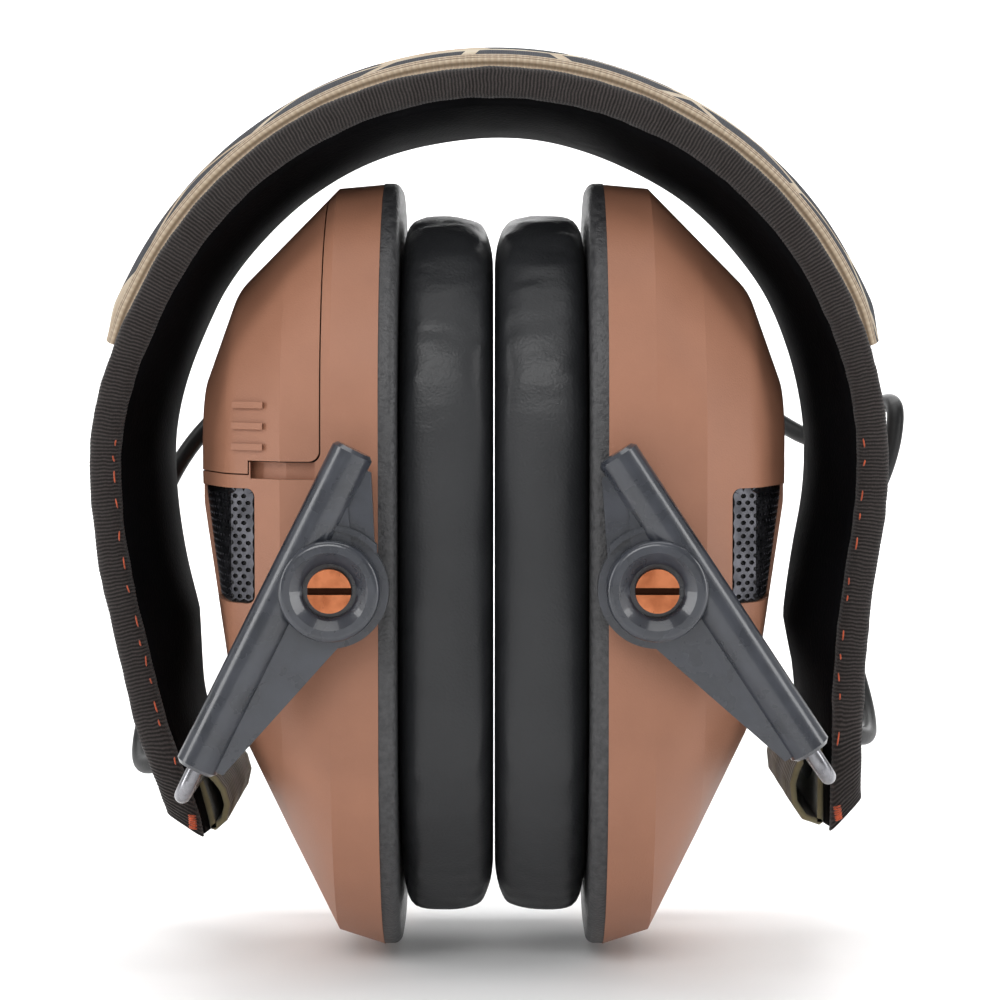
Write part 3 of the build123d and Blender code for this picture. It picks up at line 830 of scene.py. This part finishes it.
def cushion_rings(sign, shrink):
    """Rings round the ear hole: each is a section from the plate, over the face and back."""
    count = 220
    outer = outline(*CUSHION, count)
    width, height, corner = EAR_HOLE
    inner = outline(width, height, corner, count)
    rings = []
    for index in range(count):
        out, hole = outer[index], inner[index]
        across = out - hole
        length = np.linalg.norm(across)
        direction = across / length
        ring = []
        depth = PLATE_U - FACE_U
        for step in range(40):
            a = 2 * pi * step / 40
            c, d = cos(a), sin(a)
            power = 0.26 if d < 0 else 0.56
            side_way = (abs(c) ** power) * (1 if c >= 0 else -1)
            up = (abs(d) ** power) * (1 if d >= 0 else -1)
            reach = length / 2 * (1 - shrink / 12) * side_way
            place = hole + direction * (length / 2 + reach)
            u = PLATE_U - depth / 2 - up * (depth / 2 - shrink)
            ring.append((sign * u, place[0], CUP_Z + place[1]))
        rings.append(ring)
    return np.array(rings)


def inflate(obj, cap):
    """Runs a short cloth simulation with pressure, and keeps each point within cap of its start."""
    bpy.context.view_layer.objects.active = obj
    remesh = obj.modifiers.new("remesh", "REMESH")
    remesh.mode = "VOXEL"
    remesh.voxel_size = 0.0022
    bpy.ops.object.modifier_apply(modifier=remesh.name)
    start = np.array([v.co for v in obj.data.vertices], float)
    cloth = obj.modifiers.new("cloth", "CLOTH")
    cloth.settings.use_pressure = True
    cloth.settings.uniform_pressure_force = 4.0
    cloth.settings.tension_stiffness = 12.0
    cloth.settings.bending_stiffness = 0.8
    cloth.settings.effector_weights.gravity = 0.0
    for number in range(1, 21):
        bpy.context.scene.frame_set(number)
    posed = obj.evaluated_get(bpy.context.evaluated_depsgraph_get())
    moved = np.array([v.co for v in posed.data.vertices], float) - start
    far = np.linalg.norm(moved, axis=1)[:, None]
    final = start + moved * np.minimum(1.0, cap / np.maximum(far, 1e-9))
    obj.modifiers.remove(cloth)
    bpy.context.scene.frame_set(1)
    obj.data.vertices.foreach_set("co", final.astype(np.float32).ravel())
    obj.data.update()


def subdivide(obj):
    bpy.context.view_layer.objects.active = obj
    step = obj.modifiers.new("subdivision", "SUBSURF")
    step.levels = step.render_levels = 1
    bpy.ops.object.modifier_apply(modifier=step.name)
    obj.data.polygons.foreach_set("use_smooth", [True] * len(obj.data.polygons))


def finish_cushion(obj, sign):
    """Fits the cushion between its plate and the other cushion, flat where they touch, and
    adds slack folds."""
    co = np.array([v.co for v in obj.data.vertices], float) / MM
    low, high = co.min(axis=0), co.max(axis=0)
    ends = sorted((sign * (FACE_U - 0.10), sign * (PLATE_U + 0.05)))
    goal_low = np.array((ends[0], -CUSHION[0] / 2, CUP_Z - CUSHION[1] / 2))
    goal_high = np.array((ends[1], CUSHION[0] / 2, CUP_Z + CUSHION[1] / 2))
    co = goal_low + (co - low) / (high - low) * (goal_high - goal_low)
    for point in co:
        u = point[0] * sign
        height = (point[2] - CUP_Z) / (CUSHION[1] / 2)
        slack = 0.10 + 0.22 * smoothstep((height - 0.15) / 0.7)
        fold = wobble(point[0] * 0.6, point[1] * 1.1, point[2] * 2.2, 5.0, 3.0 * sign)
        fold += 0.5 * wobble(point[0], point[1], point[2] * 2.0, 2.4, 5.0 * sign)
        side_way = np.array((0.0, point[1], point[2] - CUP_Z))
        side_way /= max(1e-6, np.linalg.norm(side_way))
        free = smoothstep((PLATE_U - u) / 3.0)
        point += side_way * slack * fold * free
        u = min(PLATE_U + 0.05, max(FACE_U, u))
        point[0] = sign * u
    obj.data.vertices.foreach_set("co", (co * MM).astype(np.float32).ravel())
    obj.data.update()


def make_cushion(name, side):
    sign = side["sign"]
    rings = cushion_rings(sign, 0.4)
    obj = grid_object(name + "_ear_cushion", rings, ring=True,
                      material=LOOKS["leatherette"].material)
    inflate(obj, 0.0008)
    subdivide(obj)
    finish_cushion(obj, sign)
    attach(obj, name + "_cup")
    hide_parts(name + "_cushion")


def make_ear_cloth(name, side):
    """Thin cloth across the ear hole, slightly slack, with its edge under the cushion."""
    sign = side["sign"]
    width, height, corner = EAR_HOLE
    rim = outline(width + 3.6, height + 3.6, corner + 1.8, 120)
    rows = []
    for share in np.linspace(1.0, 0.02, 26):
        row = []
        for y, z in rim * share:
            sag = 0.5 * (1 - share ** 2) + 0.08 * wobble(y, z, 0, 4.0, sign * 2.0)
            row.append((sign * (PLATE_U + 0.5 + sag), y, CUP_Z + z))
        rows.append(row)
    cloth = grid_object(name + "_inner_cloth", np.array(rows), material=LOOKS["cloth"].material)
    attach(cloth, name + "_cup")
    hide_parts(name + "_ear_cloth", name + "_sound_liner")


for side_name, side in SIDES.items():
    make_cushion(side_name, side)
    make_ear_cloth(side_name, side)


# ---------------------------------------------------------------- microphone grilles

def make_grille(name, side):
    """Perforated metal laid on the window's curved panel, with staggered round holes."""
    sign = side["sign"]
    node = NODES[name + "_mic_mesh"]
    tree = BVHTree.FromPolygons([v.co for v in node.data.vertices],
                                [tuple(p.vertices) for p in node.data.polygons])
    low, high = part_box(name + "_mic_mesh")

    def land(angle, z):
        """Where a level ray from outside, at an angle from the front, meets the panel."""
        towards = Vector((sign * sin(angle), -cos(angle), 0.0))
        origin = Vector((sign * GRILLE_AXIS_U, 0.0, z)) * MM + towards * 0.06
        place, normal, _, _ = tree.ray_cast(origin, -towards)
        if place is None:
            return None
        if normal.dot(towards) < 0:
            normal = -normal
        return place, normal

    def reach(along, z, goal_along, goal_z):
        """The panel's point at the goal, or the last one on the way there from (along, z)."""
        found = land(goal_along / GRILLE_RADIUS, goal_z)
        share_in, share_out = 0.0, 1.0
        if found is None:
            for _ in range(7):
                share = (share_in + share_out) / 2
                at = along + (goal_along - along) * share
                trial = land(at / GRILLE_RADIUS, z + (goal_z - z) * share)
                if trial is None:
                    share_out = share
                else:
                    share_in, found = share, trial
        return found

    def vertex(found, lift):
        return bm.verts.new(found[0] + found[1] * lift * MM)

    step = GRILLE_PITCH / sqrt(3)
    bm = bmesh.new()
    row_number = 0
    z = low.z / MM
    while z < high.z / MM + 0.3:
        shift = GRILLE_PITCH / 2 if row_number % 2 else 0.0
        for column in range(int(GRILLE_RADIUS * pi * 0.6 / GRILLE_PITCH)):
            along = 2.0 + column * GRILLE_PITCH + shift
            if land(along / GRILLE_RADIUS, z) is None:
                continue
            rims = [reach(along, z, along + step * cos(a), z + step * sin(a))
                    for a in (pi / 6 + k * pi / 3 for k in range(6))]
            holes = [land((along + GRILLE_HOLE * cos(a)) / GRILLE_RADIUS, z + GRILLE_HOLE * sin(a))
                     for a in (pi / 6 + k * pi / 6 for k in range(12))]
            if None in rims:
                continue
            outer = [vertex(found, GRILLE_TOP) for found in rims]
            if None in holes:
                bm.faces.new(outer)
                continue
            inner = [vertex(found, GRILLE_TOP) for found in holes]
            sunk = [vertex(found, GRILLE_SUNK) for found in holes]
            for k in range(6):
                i, j, m = 2 * k, 2 * k + 1, (2 * k + 2) % 12
                bm.faces.new((outer[k], outer[(k + 1) % 6], inner[m], inner[j], inner[i]))
            for k in range(12):
                n = (k + 1) % 12
                bm.faces.new((inner[k], inner[n], sunk[n], sunk[k]))
        z += GRILLE_PITCH * sqrt(3) / 2
        row_number += 1
    bmesh.ops.remove_doubles(bm, verts=bm.verts, dist=0.00004)
    bmesh.ops.recalc_face_normals(bm, faces=bm.faces)
    mesh = bpy.data.meshes.new(name + "_grille")
    bm.to_mesh(mesh)
    bm.free()
    grille = add_object(name + "_grille", mesh, LOOKS["grille"].material, smooth=False)
    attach(grille, name + "_cup")


for side_name, side in SIDES.items():
    make_grille(side_name, side)


# ---------------------------------------------------------------- CAD nodes that stay

KEPT = {
    "shell": "shell", "seal_plate": "plate", "front_arm": "arm", "rear_arm": "arm",
    "bail_wire": "steel", "pivot_screws": "copper", "mic_mesh": "screen", "lead_grommet": "jacket",
    "lead_eyelet": "jacket", "speaker": "plate", "circuit_board": "board", "microphone": "plate",
}
for side_name in SIDES:
    for part, look in KEPT.items():
        dress(side_name + "_" + part, look)
dress("left_battery_door", "shell")
dress("left_batteries", "cells")
dress("left_battery_contacts", "contact")
dress("left_aux_jack", "plate")
dress("left_volume_knob", "plate")


# ---------------------------------------------------------------- room and light

def make_stage():
    look = Look("floor", 0.9, specular=0.1)
    tone = look.noise(look.place(), 6.0)
    look.colour(look.ramp(tone, ((0.3, srgb(243, 243, 243)), (0.7, srgb(246, 246, 246)))))
    profile = [(-4.0, FLOOR_Z), (COVE_START, FLOOR_Z)]
    for step in range(1, 13):
        a = step / 12 * pi / 2
        profile.append((COVE_START + COVE_RADIUS * sin(a), FLOOR_Z + COVE_RADIUS * (1 - cos(a))))
    profile.append((COVE_START + COVE_RADIUS, BACKDROP_TOP))
    rows = [[(x, y, z) for x in (-5.0, 5.0)] for y, z in profile]
    floor = grid_object("floor", np.array(rows) / MM, loop=False, material=look.material)
    world = bpy.data.worlds.new("world")
    bpy.context.scene.world = world
    world.use_nodes = True
    background = world.node_tree.nodes["Background"]
    background.inputs["Color"].default_value = (1.0, 1.0, 1.0, 1.0)
    background.inputs["Strength"].default_value = 0.42


def make_light(name, place, aim, size, power):
    data = bpy.data.lights.new(name, "AREA")
    data.shape = "RECTANGLE"
    data.size, data.size_y = size
    data.energy = power
    light = bpy.data.objects.new(name, data)
    bpy.context.scene.collection.objects.link(light)
    light.location = place
    light.rotation_euler = (Vector(aim) - Vector(place)).to_track_quat("-Z", "Y").to_euler()


make_stage()
make_light("key", (-0.15, -0.75, 0.40), (0, 0, -0.06), (0.5, 0.4), 3.1)
make_light("left_side", (-0.65, -0.20, 0.02), (0, 0, -0.06), (0.2, 0.7), 2.0)
make_light("right_side", (0.65, -0.20, 0.02), (0, 0, -0.06), (0.2, 0.7), 2.0)
make_light("top", (0.0, 0.05, 0.7), (0, 0, 0), (0.6, 0.6), 2.4)
make_light("back", (0.1, 0.8, 0.35), (0, 0, -0.06), (0.7, 0.5), 2.0)
make_light("wall", (0.0, 0.9, 1.6), (0, 2.0, 0.4), (2.5, 0.6), 60.0)
bpy.context.scene.view_settings.view_transform = "Standard"

bpy.context.view_layer.update()
